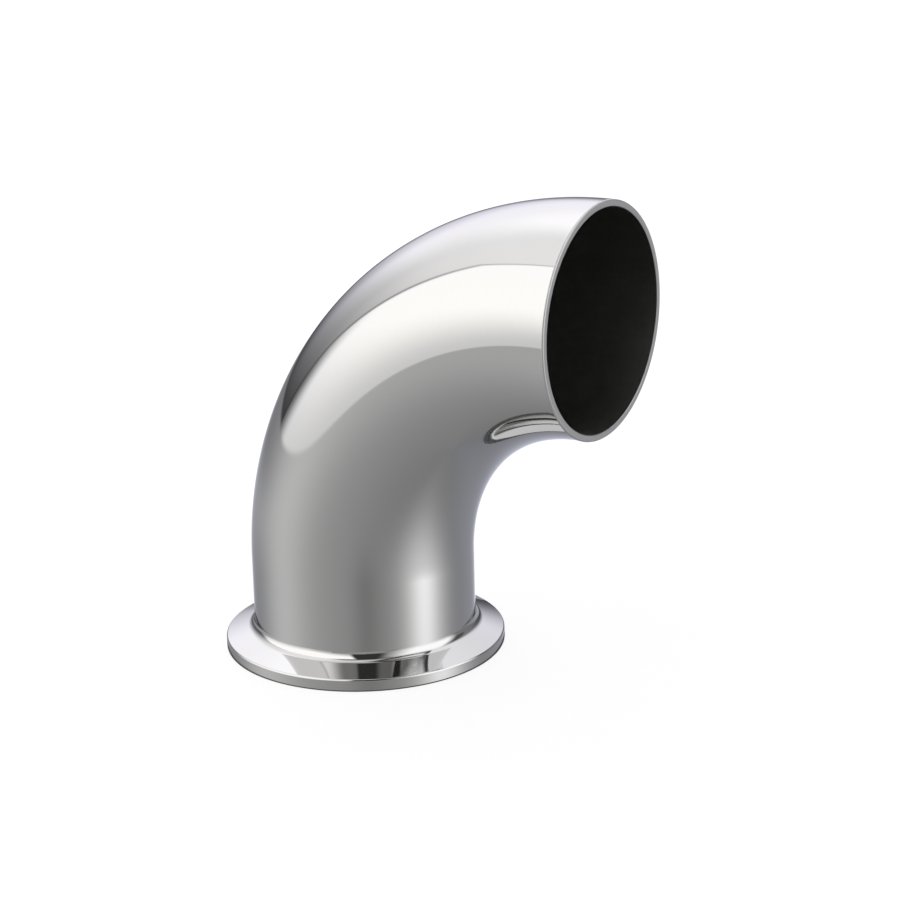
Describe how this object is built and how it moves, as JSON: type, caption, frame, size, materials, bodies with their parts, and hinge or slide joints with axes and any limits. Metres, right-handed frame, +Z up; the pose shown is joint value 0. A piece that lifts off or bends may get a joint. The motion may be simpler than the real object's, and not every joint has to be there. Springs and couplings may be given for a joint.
{
  "type": "sanitary elbow",
  "caption": "Polished steel quarter-bend tube elbow for hygienic pipework, with a clamp ferrule on one end and a plain butt-weld end on the other.",
  "frame": {"origin": "centre of the ferrule's sealing face, in the plane of that face", "axes": "+Z up the ferrule's axis into the elbow, +X the way the weld end points, the bend lies in the XZ plane"},
  "size_m": [0.0947, 0.064, 0.1081],
  "materials": {
    "polished_steel": "mirror-polished stainless steel"
  },
  "bodies": {
    "root": {"elbow": "polished_steel"}
  },
  "joints": []
}
